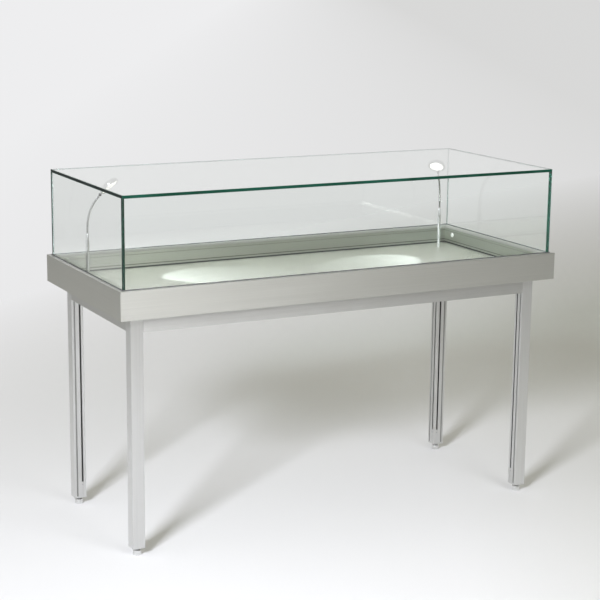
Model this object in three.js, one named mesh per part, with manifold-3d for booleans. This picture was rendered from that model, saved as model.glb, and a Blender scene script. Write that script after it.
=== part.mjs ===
// A table display case: a glass hood in a deep aluminium frame, hinged along the back of a low base frame
// that stands on four slotted legs. Two gas struts lie in the hood frame's side cavities, a cam lock sits
// in its right side, and two slim lamps stand on the deck. Millimetres, +Z up, front towards -Y, floor at 0.
import * as THREE from "three";
import { mergeVertices } from "three/addons/utils/BufferGeometryUtils.js";
import Module from "manifold-3d";

const wasm = await Module();
wasm.setup();

// Overall sizes
const LENGTH = 1400;
const DEPTH = 600;
const STAND_HEIGHT = 682; // floor to the underside of the hood frame
const FRAME_HEIGHT = 80;
const HOOD_HEIGHT = 254; // glass above the frame
const GAP = 0.3; // between pieces that touch
const MITRE_GAP = 0.15; // half the hairline at a mitre

// Stand: square legs with a shallow groove and a panel slot in both inner faces, and rails between them
const LEG = 36;
const LEG_INSET = 45; // frame's outer face to a leg's outer face
const LEG_BORE = 7.5;
const EDGE_RADIUS = 0.8;
const GROOVE_CENTRE = 8.5;
const GROOVE_WIDTH = 4.5;
const GROOVE_DEPTH = 2.2;
const SLOT_CENTRE = 25;
const SLOT_WIDTH = 5.5;
const SLOT_DEPTH = 8;
const RAIL_HEIGHT = 46;
const RAIL_WALL = 3;

// Levelling feet and the inserts that close the legs
const FOOT_HEIGHT = 22; // floor to the insert's underside
const FOOT_RADIUS = 12;
const FOOT_DRUM = 15;
const FOOT_NUT = 6.5;
const STUD_RADIUS = 4;
const STUD_LENGTH = 30; // above the leg's underside
const INSERT_PLATE = 3;
const INSERT_SPIGOT = 40;
const INSERT_TONGUE = 50;

// Hood frame: an inverted channel with a glazing pocket on top
const FRAME_WIDTH = 33.5;
const FRAME_WALL = 3;
const GLASS = 8;
const GLASS_INSET = 13; // frame's outer face to the glass
const SEAL = 0.6; // between the glass and the metal
const POCKET_DEPTH = 14;
const WEB = 4;
const BEAD_FALL = 6.5; // how far a glazing bead's top slopes down from the glass
const WALL_GROOVE_UP = 35.6; // line along the inner wall, above the frame's underside
const WALL_GROOVE_WIDTH = 2;
const WALL_GROOVE_DEPTH = 1.2;

// Base frame and deck
const BASE_SETBACK = 20; // frame's outer face to the base rail
const BASE_WALL = 3;
const BASE_TOP = 24;
const LEDGE_INNER = 44; // the ledge round the deck ends here
const FLANGE_LAP = 3; // the flange over the legs and rails ends this far past them
const DECK_THICKNESS = 22;
const GASKET_HEIGHT = 4.2;
const GASKET_WIDTH = 4;

// Continuous hinge along the back
const HINGE_BACK = 12; // axis inwards of the frame's outer face
const HINGE_UP = 10;
const HINGE_END = 60; // hinge's end inwards of the case's end
const KNUCKLES = 16;
const KNUCKLE_RADIUS = 5;
const PIN_RADIUS = 2.5;
const LEAF = 2.3;
const BASE_LEAF_HEIGHT = 18;
const HOOD_LEAF_HEIGHT = 34;

// Gas struts in the side cavities, placed from the back and from the underside of the frame
const STRUT_PLANE = 11.2;
const STRUT_BASE_BACK = 320;
const STRUT_BASE_UP = 10;
const STRUT_HOOD_BACK = 80;
const STRUT_HEADROOM = 1; // upper eye to the frame's web
const STRUT_RADIUS = 6;
const STRUT_ROD = 3;
const STRUT_BODY = 205;
const STRUT_BORE_START = 120;
const ROD_START = 124;
const EYE_RADIUS = 6;
const EYE_HALF = 4.5;
const EYE_PIN = 3;
const CAP_RADIUS = 7.5;
const CAP_THICKNESS = 2.5;
const CAP_SHAFT = 4;

// Cam lock in the right side, near the front
const LOCK_FRONT = 70; // from the frame's front face
const LOCK_UP = 38;
const LOCK_RADIUS = 9;
const LOCK_DEPTH = 16;
const PLUG_RADIUS = 6;
const CAM_LENGTH = 22;
const CAM_WIDTH = 8;
const CAM_THICKNESS = 2;

// Lamps on the deck
const LAMP_SIDE = 98; // from the case's end to the stem
const LAMP_BACK = 97;
const LAMP_TURN = 48.4; // heading towards the middle front, from the long axis
const STEM_RADIUS = 5.5;
const STEM_HEIGHT = 104;
const STEM_SUNK = 30;
const COLLAR_RADIUS = 6.4; // ring at the stem's top
const COLLAR_HEIGHT = 3.2;
const FERRULE_RADIUS = 4.2; // sleeve that holds the neck's foot
const FERRULE_HEIGHT = 21;
const SOCKET_WALL = 2;
const SOCKET_NUT = 11;
const SOCKET_NUT_HEIGHT = 6;
const SOCKET_TAIL = 14; // below the deck board
const NECK_RADIUS = 3;
const NECK_REACH = 44;
const NECK_TOP = 243; // ball's centre above the deck
const NECK_SLOPE = 49;
const NECK_LIFT = 65; // how far the neck's curve pulls straight up, and back along its end
const NECK_LEAD = 42;
const BALL_RADIUS = 4.5;
const HEAD_SLOPE = 42; // the disc's rise from the ball
const HEAD_RADIUS = 27;
const HEAD_BACK = 9;
const HEAD_FRONT = 5;
const LENS_RADIUS = 22;
const LENS_THICKNESS = 2;

// Heights that follow
const FRAME_TOP = STAND_HEIGHT + FRAME_HEIGHT;
const POCKET_FLOOR = FRAME_HEIGHT - POCKET_DEPTH;
const DECK_BOTTOM = BASE_WALL + GAP;
const DECK_TOP = DECK_BOTTOM + DECK_THICKNESS;
const SKIRT_BOTTOM = BASE_TOP + GASKET_HEIGHT + 2 * GAP;
const FLANGE_INNER = LEG_INSET + LEG + FLANGE_LAP;
const STRUT_HOOD_UP = POCKET_FLOOR - WEB - EYE_RADIUS - STRUT_HEADROOM;
const GLASS_INNER = GLASS_INSET + GLASS;
const HOOD_TOP = FRAME_HEIGHT + HOOD_HEIGHT;
const NECK_FOOT = STEM_HEIGHT + FERRULE_HEIGHT;

const COLOURS = {
  frame: { color: 0xb9b8b2, roughness: 0.42, metalness: 0.9 },
  stand: { color: 0xc9c9c6, roughness: 0.45, metalness: 0.85 },
  steel: { color: 0x9a9c9e, roughness: 0.3, metalness: 1 },
  dark: { color: 0x2a2c2e, roughness: 0.6, metalness: 0.1 },
  deck: { color: 0xd5d6cf, roughness: 0.85, metalness: 0 },
  glass: { color: 0xcfe3da, roughness: 0.03, metalness: 0, transparent: true, opacity: 0.3 },
  lamp: { color: 0xb4b6b8, roughness: 0.25, metalness: 1 },
  lens: { color: 0xfffaf0, roughness: 0.4, metalness: 0 },
};

const rad = THREE.MathUtils.degToRad;
const frameCut = (inset) => inset + MITRE_GAP;

// The four sides, each with X along it, Y inwards from the frame's outer face and Z up from its underside
const SIDES = {
  front: { angle: 0, x: 0, y: -DEPTH / 2, length: LENGTH },
  right: { angle: 90, x: LENGTH / 2, y: 0, length: DEPTH },
  back: { angle: 180, x: 0, y: DEPTH / 2, length: LENGTH },
  left: { angle: -90, x: -LENGTH / 2, y: 0, length: DEPTH },
};

// The four corners in the same turns, each with its outer corner at the origin and X and Y inwards
const CORNERS = {
  front_left: { angle: 0, x: -1, y: -1 },
  front_right: { angle: 90, x: 1, y: -1 },
  back_right: { angle: 180, x: 1, y: 1 },
  back_left: { angle: -90, x: -1, y: 1 },
};

const object = new THREE.Group();

function mesh(name, geometry, colour) {
  const made = new THREE.Mesh(geometry, new THREE.MeshStandardMaterial(COLOURS[colour]));
  made.name = name;
  return made;
}

function sideGroup(side) {
  const { angle, x, y } = SIDES[side];
  const group = new THREE.Group();
  group.position.set(x, y, STAND_HEIGHT);
  group.rotation.z = rad(angle);
  object.add(group);
  return group;
}

// ---- shapes ----

// Points are [x, y] or [x, y, radius]: a corner with a radius is rounded.
function outline(points, Kind = THREE.Shape) {
  const shape = new Kind();
  points.forEach(([x, y, radius = 0], i) => {
    const before = points[(i + points.length - 1) % points.length];
    const after = points[(i + 1) % points.length];
    const corner = new THREE.Vector2(x, y);
    const start = towards(corner, before, radius);
    const end = towards(corner, after, radius);
    if (i === 0) shape.moveTo(start.x, start.y);
    else shape.lineTo(start.x, start.y);
    if (radius > 0) shape.quadraticCurveTo(x, y, end.x, end.y);
  });
  shape.closePath();
  return shape;
}

function towards(corner, other, distance) {
  const way = new THREE.Vector2(other[0], other[1]).sub(corner).setLength(distance || 1);
  return distance ? corner.clone().add(way) : corner.clone();
}

function rectangle(x0, y0, x1, y1, Kind = THREE.Shape) {
  return outline([[x0, y0], [x1, y0], [x1, y1], [x0, y1]], Kind);
}

function circle(x, y, radius, Kind = THREE.Path) {
  const made = new Kind();
  made.absarc(x, y, radius, 0, 2 * Math.PI);
  return made;
}

// A flat outline stood up along Z from bottom to top.
function upright(shape, bottom, top, facets = 12) {
  const options = { depth: top - bottom, bevelEnabled: false, curveSegments: facets };
  return new THREE.ExtrudeGeometry(shape, options).translate(0, 0, bottom);
}

// A section in (inset, height) run along a side. cut(inset) is how far each end stops short of the corner.
function run(section, length, cut) {
  const options = { depth: 1, bevelEnabled: false, curveSegments: 3 };
  const geometry = new THREE.ExtrudeGeometry(section, options);
  const at = geometry.getAttribute("position");
  for (let i = 0; i < at.count; i++) {
    const inset = at.getX(i);
    const reach = length / 2 - cut(inset);
    at.setXYZ(i, at.getZ(i) > 0.5 ? reach : -reach, inset, at.getY(i));
  }
  return geometry;
}

// A section in (inset, height) run between two places along a side.
function stretch(section, from, to, facets = 12) {
  const geometry = upright(section, from, to, facets);
  const turn = new THREE.Matrix4().set(0, 0, 1, 0, 1, 0, 0, 0, 0, 1, 0, 0, 0, 0, 0, 1);
  return geometry.applyMatrix4(turn);
}

function revolve(points, facets = 24) {
  return new THREE.LatheGeometry(
    points.map(([radius, height]) => new THREE.Vector2(radius, height)),
    facets,
  ).rotateX(Math.PI / 2);
}

function solid(geometry) {
  const bare = geometry.index ? geometry.toNonIndexed() : geometry.clone();
  bare.deleteAttribute("normal");
  bare.deleteAttribute("uv");
  const merged = mergeVertices(bare, 1e-4);
  const vertProperties = new Float32Array(merged.getAttribute("position").array);
  const triVerts = new Uint32Array(merged.index.array);
  return new wasm.Manifold(new wasm.Mesh({ numProp: 3, vertProperties, triVerts }));
}

function geometryOf(made) {
  const { vertProperties, triVerts } = made.getMesh();
  const geometry = new THREE.BufferGeometry();
  geometry.setAttribute("position", new THREE.BufferAttribute(new Float32Array(vertProperties), 3));
  geometry.setIndex(new THREE.BufferAttribute(new Uint32Array(triVerts), 1));
  geometry.computeVertexNormals();
  return geometry;
}

function combine(joined, cuts = []) {
  let made = joined.map(solid).reduce((a, b) => a.add(b));
  for (const cut of cuts) made = made.subtract(solid(cut));
  return geometryOf(made);
}

// ---- stand ----

function legSection() {
  const face = LEG;
  const [g0, g1] = [GROOVE_CENTRE - GROOVE_WIDTH / 2, GROOVE_CENTRE + GROOVE_WIDTH / 2];
  const [s0, s1] = [SLOT_CENTRE - SLOT_WIDTH / 2, SLOT_CENTRE + SLOT_WIDTH / 2];
  const inner = [
    [face, g0],
    [face - GROOVE_DEPTH, g0],
    [face - GROOVE_DEPTH, g1],
    [face, g1],
    [face, s0],
    [face - SLOT_DEPTH, s0],
    [face - SLOT_DEPTH, s1],
    [face, s1],
  ];
  const mirrored = inner.map(([x, y]) => [y, x]).reverse();
  const corners = [[0, 0, EDGE_RADIUS], [face, 0, EDGE_RADIUS]];
  const shape = outline([...corners, ...inner, [face, face, EDGE_RADIUS], ...mirrored, [0, face, EDGE_RADIUS]]);
  shape.holes.push(circle(LEG / 2, LEG / 2, LEG_BORE));
  return shape;
}

// The leg's end piece: a plate, a spigot in the bore and a tongue in each slot, tapped for the foot.
function footInsert() {
  const top = INSERT_PLATE - 0.5;
  const plate = outline([
    [0, 0, EDGE_RADIUS],
    [LEG, 0, EDGE_RADIUS],
    [LEG, LEG, EDGE_RADIUS],
    [0, LEG, EDGE_RADIUS],
  ]);
  const s0 = SLOT_CENTRE - SLOT_WIDTH / 2 + GAP;
  const s1 = SLOT_CENTRE + SLOT_WIDTH / 2 - GAP;
  const root = LEG - SLOT_DEPTH + GAP;
  const face = LEG - GAP;
  return combine(
    [
      upright(plate, 0, INSERT_PLATE, 3),
      upright(circle(LEG / 2, LEG / 2, LEG_BORE - GAP, THREE.Shape), top, INSERT_SPIGOT),
      upright(rectangle(root, s0, face, s1), top, INSERT_TONGUE),
      upright(rectangle(s0, root, s1, face), top, INSERT_TONGUE),
    ],
    [upright(circle(LEG / 2, LEG / 2, STUD_RADIUS + GAP, THREE.Shape), -1, INSERT_SPIGOT + 1)],
  );
}

// A round drum on the floor, with its threaded stud and a nut under the leg.
function levellingFoot() {
  const top = FOOT_HEIGHT + STUD_LENGTH;
  return revolve([
    [0, 0],
    [FOOT_RADIUS - 1, 0],
    [FOOT_RADIUS, 1.5],
    [FOOT_RADIUS, FOOT_DRUM - 1],
    [FOOT_RADIUS - 1.5, FOOT_DRUM],
    [FOOT_NUT, FOOT_DRUM],
    [FOOT_NUT, FOOT_HEIGHT - GAP - 1],
    [STUD_RADIUS, FOOT_HEIGHT - GAP - 1],
    [STUD_RADIUS, top - 1],
    [STUD_RADIUS - 1, top],
    [0, top],
  ]);
}

function addLeg(corner) {
  const { angle, x, y } = CORNERS[corner];
  const group = new THREE.Group();
  group.position.set(x * (LENGTH / 2 - LEG_INSET), y * (DEPTH / 2 - LEG_INSET), 0);
  group.rotation.z = rad(angle);
  const bottom = FOOT_HEIGHT + INSERT_PLATE + GAP;
  const leg = mesh("leg_" + corner, upright(legSection(), bottom, STAND_HEIGHT - GAP), "stand");
  const insert = mesh("foot_insert_" + corner, footInsert(), "stand");
  insert.position.z = FOOT_HEIGHT;
  const foot = mesh("levelling_foot_" + corner, levellingFoot(), "steel");
  foot.position.set(LEG / 2, LEG / 2, 0);
  group.add(leg, insert, foot);
  object.add(group);
}

// A hollow rail with the panel slot in its underside, in line with the slots of the legs.
function standRailSection() {
  const [outer, inner] = [LEG_INSET, LEG_INSET + LEG];
  const [s0, s1] = [outer + SLOT_CENTRE - SLOT_WIDTH / 2, outer + SLOT_CENTRE + SLOT_WIDTH / 2];
  const shape = outline([
    [outer, -RAIL_HEIGHT, EDGE_RADIUS],
    [s0, -RAIL_HEIGHT],
    [s0, -RAIL_HEIGHT + SLOT_DEPTH],
    [s1, -RAIL_HEIGHT + SLOT_DEPTH],
    [s1, -RAIL_HEIGHT],
    [inner, -RAIL_HEIGHT, EDGE_RADIUS],
    [inner, -GAP],
    [outer, -GAP],
  ]);
  const low = -RAIL_HEIGHT + SLOT_DEPTH + RAIL_WALL;
  const high = -GAP - RAIL_WALL;
  shape.holes.push(rectangle(outer + RAIL_WALL, low, inner - RAIL_WALL, high, THREE.Path));
  return shape;
}

// ---- base frame and deck ----

// A channel whose inner wall carries the ledge round the deck and a wide flange under it.
function baseRailSection() {
  const wall = BASE_WALL;
  const ledgeOuter = FRAME_WIDTH + 1;
  return outline([
    [BASE_SETBACK, 0],
    [BASE_SETBACK + wall, 0],
    [BASE_SETBACK + wall, BASE_TOP - wall],
    [LEDGE_INNER - wall, BASE_TOP - wall],
    [LEDGE_INNER - wall, 0],
    [FLANGE_INNER, 0],
    [FLANGE_INNER, wall],
    [LEDGE_INNER, wall],
    [LEDGE_INNER, DECK_TOP],
    [ledgeOuter, DECK_TOP],
    [ledgeOuter, BASE_TOP],
    [BASE_SETBACK, BASE_TOP],
  ]);
}

function planRectangle(inset, Kind = THREE.Shape) {
  return rectangle(inset - LENGTH / 2, inset - DEPTH / 2, LENGTH / 2 - inset, DEPTH / 2 - inset, Kind);
}

function lampPlace(side) {
  return new THREE.Vector2(side * (LENGTH / 2 - LAMP_SIDE), DEPTH / 2 - LAMP_BACK);
}

const SOCKET_BARREL = STEM_RADIUS + SOCKET_WALL;

function deckBoard() {
  const shape = planRectangle(LEDGE_INNER + 2 * GAP);
  for (const side of [-1, 1]) {
    const { x, y } = lampPlace(side);
    shape.holes.push(circle(x, y, SOCKET_BARREL + GAP));
  }
  return upright(shape, DECK_BOTTOM, DECK_TOP);
}

function hoodGasket() {
  const outer = FRAME_WIDTH + GAP - GASKET_WIDTH;
  const shape = planRectangle(outer);
  shape.holes.push(planRectangle(outer + GASKET_WIDTH, THREE.Path));
  return upright(shape, BASE_TOP + GAP, BASE_TOP + GAP + GASKET_HEIGHT);
}

// ---- hood ----

function hoodRailSection() {
  const pocket = GLASS_INSET - SEAL;
  return outline([
    [0, 0, EDGE_RADIUS],
    [FRAME_WALL, 0],
    [FRAME_WALL, POCKET_FLOOR - WEB],
    [FRAME_WIDTH - FRAME_WALL, POCKET_FLOOR - WEB],
    [FRAME_WIDTH - FRAME_WALL, SKIRT_BOTTOM],
    [FRAME_WIDTH, SKIRT_BOTTOM],
    [FRAME_WIDTH, WALL_GROOVE_UP - WALL_GROOVE_WIDTH / 2],
    [FRAME_WIDTH - WALL_GROOVE_DEPTH, WALL_GROOVE_UP - WALL_GROOVE_WIDTH / 2],
    [FRAME_WIDTH - WALL_GROOVE_DEPTH, WALL_GROOVE_UP + WALL_GROOVE_WIDTH / 2],
    [FRAME_WIDTH, WALL_GROOVE_UP + WALL_GROOVE_WIDTH / 2],
    [FRAME_WIDTH, POCKET_FLOOR],
    [pocket, POCKET_FLOOR],
    [pocket, FRAME_HEIGHT],
    [0, FRAME_HEIGHT, EDGE_RADIUS],
  ]);
}

function glazingBeadSection() {
  const outer = GLASS_INNER + SEAL;
  const inner = FRAME_WIDTH - GAP;
  return outline([
    [outer, POCKET_FLOOR + GAP],
    [inner, POCKET_FLOOR + GAP],
    [inner, FRAME_HEIGHT - BEAD_FALL, EDGE_RADIUS],
    [outer + 1, FRAME_HEIGHT],
    [outer, FRAME_HEIGHT],
  ]);
}

function addHoodSide(side) {
  const { length } = SIDES[side];
  const group = sideGroup(side);
  const cuts = [];
  const sideways = side === "left" || side === "right";
  if (sideways) cuts.push(strutCapHole(side));
  if (side === "right") cuts.push(lockHole());
  const rail = run(hoodRailSection(), length, frameCut);
  group.add(mesh("hood_rail_" + side, cuts.length ? combine([rail], cuts) : rail, "frame"));
  group.add(mesh("glazing_bead_" + side, run(glazingBeadSection(), length, frameCut), "frame"));
  const shift = sideways ? GLASS_INNER + GAP : GLASS_INSET;
  const top = HOOD_TOP - GLASS - GAP;
  const pane = rectangle(GLASS_INSET, POCKET_FLOOR + SEAL, GLASS_INNER, top);
  group.add(mesh("glass_" + side, run(pane, length, () => shift), "glass"));
}

function glassTop() {
  return upright(planRectangle(GLASS_INSET), HOOD_TOP - GLASS, HOOD_TOP);
}

// ---- hinge ----

function addHinge() {
  const group = sideGroup("back");
  const reach = LENGTH / 2 - HINGE_END;
  const pitch = (2 * reach) / KNUCKLES;
  const barrel = circle(HINGE_BACK, HINGE_UP, KNUCKLE_RADIUS, THREE.Shape);
  const bore = stretch(circle(HINGE_BACK, HINGE_UP, PIN_RADIUS + GAP, THREE.Shape), -reach - 1, reach + 1, 6);
  const low = HINGE_UP - KNUCKLE_RADIUS + GAP;
  const high = HINGE_UP + KNUCKLE_RADIUS - GAP;
  const baseLeaf = BASE_SETBACK - GAP;
  const hoodLeaf = FRAME_WALL + GAP;
  const basePlate = rectangle(baseLeaf - LEAF, low, baseLeaf, low + BASE_LEAF_HEIGHT);
  const hoodPlate = rectangle(hoodLeaf, high - LEAF, hoodLeaf + LEAF, high + HOOD_LEAF_HEIGHT);
  const baseArm = rectangle(HINGE_BACK, low, baseLeaf - LEAF / 2, low + LEAF);
  const hoodArm = rectangle(hoodLeaf + LEAF / 2, high - LEAF, HINGE_BACK, high);
  const base = [stretch(basePlate, -reach, reach)];
  const hood = [stretch(hoodPlate, -reach, reach)];
  for (let i = 0; i < KNUCKLES; i++) {
    const from = -reach + i * pitch + GAP;
    const to = from + pitch - 2 * GAP;
    const leaf = i % 2 ? hood : base;
    leaf.push(stretch(barrel, from, to, 8), stretch(i % 2 ? hoodArm : baseArm, from, to));
  }
  group.add(mesh("hinge_base_leaf", combine(base, [bore]), "steel"));
  group.add(mesh("hinge_hood_leaf", combine(hood, [bore]), "steel"));
  const pin = circle(HINGE_BACK, HINGE_UP, PIN_RADIUS, THREE.Shape);
  group.add(mesh("hinge_pin", stretch(pin, -reach, reach, 6), "steel"));
}

// ---- gas struts ----

// Distance along a side from its middle to a place measured from the back of the case.
function fromBack(side, distance) {
  return (side === "right" ? 1 : -1) * (DEPTH / 2 - distance);
}

// A turned piece whose axis runs inwards from the frame's outer face.
function turnedInwards(points, along, up, facets = 24) {
  return revolve(points, facets).rotateX(-Math.PI / 2).translate(along, 0, up);
}

function strutCapHole(side) {
  const start = FRAME_WIDTH - 2 * FRAME_WALL;
  const points = [[0, start], [CAP_SHAFT + GAP, start], [CAP_SHAFT + GAP, FRAME_WIDTH + 1], [0, FRAME_WIDTH + 1]];
  return turnedInwards(points, fromBack(side, STRUT_HOOD_BACK), STRUT_HOOD_UP);
}

// The hood's pivot stud, held through the inner wall by a collar and a round cap that shows inside the case.
function strutPivotCap(side) {
  const inside = FRAME_WIDTH + GAP;
  const wall = FRAME_WIDTH - FRAME_WALL - GAP;
  const end = STRUT_PLANE + EYE_HALF + GAP;
  const points = [
    [0, end],
    [EYE_PIN, end],
    [EYE_PIN, wall - 6],
    [EYE_RADIUS, wall - 6],
    [EYE_RADIUS, wall],
    [CAP_SHAFT, wall],
    [CAP_SHAFT, inside],
    [CAP_RADIUS, inside],
    [CAP_RADIUS, inside + CAP_THICKNESS - 1],
    [CAP_RADIUS - 1, inside + CAP_THICKNESS],
    [0, inside + CAP_THICKNESS],
  ];
  return turnedInwards(points, fromBack(side, STRUT_HOOD_BACK), STRUT_HOOD_UP);
}

// A plate on the base rail's outer wall with the pin that the strut's lower eye turns on.
function strutBaseBracket(side) {
  const along = fromBack(side, STRUT_BASE_BACK);
  const wall = BASE_SETBACK - GAP;
  const plate = rectangle(wall - 2, 3, wall, BASE_TOP - 3);
  const pin = [
    [0, STRUT_PLANE - EYE_HALF - GAP],
    [EYE_PIN, STRUT_PLANE - EYE_HALF - GAP],
    [EYE_PIN, wall - 1],
    [0, wall - 1],
  ];
  return combine([stretch(plate, along - 15, along + 15), turnedInwards(pin, along, STRUT_BASE_UP, 20)]);
}

// An eye across the strut's own axis, with its hole at the given place along the strut.
function eye(place) {
  const ring = circle(0, place, EYE_RADIUS, THREE.Shape);
  ring.holes.push(circle(0, place, EYE_PIN + GAP));
  const turn = new THREE.Matrix4().set(0, 0, 1, -EYE_HALF, 1, 0, 0, 0, 0, 1, 0, 0, 0, 0, 0, 1);
  return upright(ring, 0, 2 * EYE_HALF, 10).applyMatrix4(turn);
}

function addStrut(side, sign) {
  const base = new THREE.Vector2(DEPTH / 2 - STRUT_BASE_BACK, STRUT_BASE_UP);
  const hood = new THREE.Vector2(DEPTH / 2 - STRUT_HOOD_BACK, STRUT_HOOD_UP);
  const span = base.distanceTo(hood);
  const rise = hood.clone().sub(base).angle();
  const group = new THREE.Group();
  group.position.set(sign * (LENGTH / 2 - STRUT_PLANE), base.x, STAND_HEIGHT + base.y);
  group.rotation.x = rise - Math.PI / 2;
  const tube = revolve([
    [0, EYE_RADIUS - 1],
    [STRUT_RADIUS - 2, EYE_RADIUS - 1],
    [STRUT_RADIUS, EYE_RADIUS + 4],
    [STRUT_RADIUS, STRUT_BODY - 1],
    [STRUT_RADIUS - 1, STRUT_BODY],
    [STRUT_ROD + GAP, STRUT_BODY],
    [STRUT_ROD + GAP, STRUT_BORE_START],
    [0, STRUT_BORE_START],
  ]);
  const rodEnd = span - EYE_RADIUS + 1;
  const rod = revolve([[0, ROD_START], [STRUT_ROD, ROD_START], [STRUT_ROD, rodEnd], [0, rodEnd]], 16);
  group.add(mesh("strut_cylinder_" + side, combine([tube, eye(0)]), "dark"));
  group.add(mesh("strut_rod_" + side, combine([rod, eye(span)]), "steel"));
  object.add(group);
}

function addStrutMounts(side) {
  const group = sideGroup(side);
  group.add(mesh("strut_base_bracket_" + side, strutBaseBracket(side), "steel"));
  group.add(mesh("strut_pivot_cap_" + side, strutPivotCap(side), "steel"));
}

// ---- lock, in the right side's own directions ----

const LOCK_ALONG = -DEPTH / 2 + LOCK_FRONT;

function lockHole() {
  const radius = LOCK_RADIUS + GAP;
  const points = [[0, -1], [radius, -1], [radius, FRAME_WALL + 1], [0, FRAME_WALL + 1]];
  return turnedInwards(points, LOCK_ALONG, LOCK_UP);
}

// The barrel fills the hole in the outer wall, and a ring nut holds it from inside.
function lockBarrel() {
  const bore = PLUG_RADIUS + GAP;
  const nut = FRAME_WALL + GAP;
  return turnedInwards(
    [
      [bore, 0],
      [LOCK_RADIUS, 0],
      [LOCK_RADIUS, nut],
      [LOCK_RADIUS + 3, nut],
      [LOCK_RADIUS + 3, nut + 3],
      [LOCK_RADIUS, nut + 3],
      [LOCK_RADIUS, LOCK_DEPTH],
      [bore, LOCK_DEPTH],
      [bore, 0],
    ],
    LOCK_ALONG,
    LOCK_UP,
  );
}

// The turning plug with its keyway and the cam on its inner end, shown unlocked with the cam down.
function lockPlug() {
  const inner = LOCK_DEPTH + GAP;
  const points = [[0, 0], [PLUG_RADIUS, 0], [PLUG_RADIUS, inner + CAM_THICKNESS], [0, inner + CAM_THICKNESS]];
  const low = LOCK_UP - CAM_LENGTH;
  const half = CAM_WIDTH / 2;
  const cam = rectangle(inner, low, inner + CAM_THICKNESS, LOCK_UP);
  const keyway = rectangle(-1, LOCK_UP - 4, 5, LOCK_UP + 4);
  return combine(
    [turnedInwards(points, LOCK_ALONG, LOCK_UP), stretch(cam, LOCK_ALONG - half, LOCK_ALONG + half)],
    [stretch(keyway, LOCK_ALONG - 0.8, LOCK_ALONG + 0.8)],
  );
}

// An angle on the base rail whose tab the cam turns in under.
function lockKeeper() {
  const tabUnder = LOCK_UP + CAM_WIDTH / 2 + 1.3;
  const post = BASE_SETBACK + GAP;
  const reach = LOCK_DEPTH - 2.5;
  const foot = BASE_TOP + GAP;
  const section = outline([
    [post, foot],
    [post + 8.5, foot],
    [post + 8.5, foot + 2.5],
    [post + 2.5, foot + 2.5],
    [post + 2.5, tabUnder + 2.5],
    [reach, tabUnder + 2.5],
    [reach, tabUnder],
    [post, tabUnder],
  ]);
  const start = LOCK_ALONG - LOCK_RADIUS - 2;
  return stretch(section, start - 16, start);
}

function addLock() {
  const group = sideGroup("right");
  group.add(mesh("lock_barrel", lockBarrel(), "steel"));
  group.add(mesh("lock_plug", lockPlug(), "steel"));
  group.add(mesh("lock_keeper", lockKeeper(), "steel"));
}

// ---- lamps, each built with its reach along X from the foot of its stem ----

// A sleeve flush with the deck, with a nut that clamps it from below.
function lampSocket() {
  const bore = STEM_RADIUS + GAP;
  const under = -DECK_THICKNESS - GAP;
  return revolve(
    [
      [bore, under - SOCKET_TAIL],
      [SOCKET_BARREL, under - SOCKET_TAIL],
      [SOCKET_BARREL, under - SOCKET_NUT_HEIGHT],
      [SOCKET_NUT, under - SOCKET_NUT_HEIGHT],
      [SOCKET_NUT, under],
      [SOCKET_BARREL, under],
      [SOCKET_BARREL, -GAP],
      [bore, -GAP],
      [bore, under - SOCKET_TAIL],
    ],
    18,
  );
}

// The stem ends in a ring, and the sleeve for the neck stands out of it.
function lampStem() {
  const collar = STEM_HEIGHT - COLLAR_HEIGHT;
  return revolve([
    [0, -STEM_SUNK],
    [STEM_RADIUS, -STEM_SUNK],
    [STEM_RADIUS, collar],
    [COLLAR_RADIUS, collar],
    [COLLAR_RADIUS, STEM_HEIGHT],
    [FERRULE_RADIUS, STEM_HEIGHT],
    [FERRULE_RADIUS, NECK_FOOT - 4],
    [NECK_RADIUS, NECK_FOOT],
    [0, NECK_FOOT],
  ]);
}

// The bent neck: straight up out of its sleeve, over in an even curve, and into the ball.
function lampNeck() {
  const slope = rad(NECK_SLOPE);
  const end = new THREE.Vector3(NECK_REACH, 0, NECK_TOP);
  const start = new THREE.Vector3(0, 0, NECK_FOOT + GAP);
  const lift = new THREE.Vector3(0, 0, NECK_FOOT + NECK_LIFT);
  const arrive = end.clone().sub(new THREE.Vector3(Math.cos(slope), 0, Math.sin(slope)).multiplyScalar(NECK_LEAD));
  const curve = new THREE.CubicBezierCurve3(start, lift, arrive, end);
  const options = { steps: 18, extrudePath: curve, bevelEnabled: false, curveSegments: 6 };
  const tube = new THREE.ExtrudeGeometry(circle(0, 0, NECK_RADIUS, THREE.Shape), options);
  const ball = new THREE.SphereGeometry(BALL_RADIUS, 14, 9).translate(end.x, end.y, end.z);
  return combine([tube, ball]);
}

// The head's own frame: origin at the ball, Z along the beam, X from the ball across the disc.
function headFrame() {
  const slope = rad(HEAD_SLOPE);
  const across = new THREE.Vector3(Math.cos(slope), 0, Math.sin(slope));
  const beam = new THREE.Vector3(Math.sin(slope), 0, -Math.cos(slope));
  const side = beam.clone().cross(across);
  const frame = new THREE.Matrix4().makeBasis(across, side, beam);
  return frame.setPosition(NECK_REACH, 0, NECK_TOP);
}

const HEAD_CENTRE = BALL_RADIUS + 4 + HEAD_RADIUS;

function lampHead() {
  const recess = LENS_RADIUS + GAP;
  const floor = HEAD_FRONT - LENS_THICKNESS - 1.2 - GAP;
  const puck = revolve(
    [
      [0, -HEAD_BACK],
      [HEAD_RADIUS * 0.6, -HEAD_BACK],
      [HEAD_RADIUS * 0.86, -HEAD_BACK + 2.5],
      [HEAD_RADIUS, -HEAD_BACK + 8],
      [HEAD_RADIUS, HEAD_FRONT - 1],
      [HEAD_RADIUS - 1, HEAD_FRONT],
      [recess, HEAD_FRONT],
      [recess, floor],
      [0, floor],
    ],
    32,
  ).translate(HEAD_CENTRE, 0, 0);
  const lug = upright(rectangle(BALL_RADIUS + GAP, -3.5, HEAD_CENTRE - HEAD_RADIUS + 3, 3.5), -2.5, 2.5);
  return combine([puck, lug]).applyMatrix4(headFrame());
}

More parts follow.
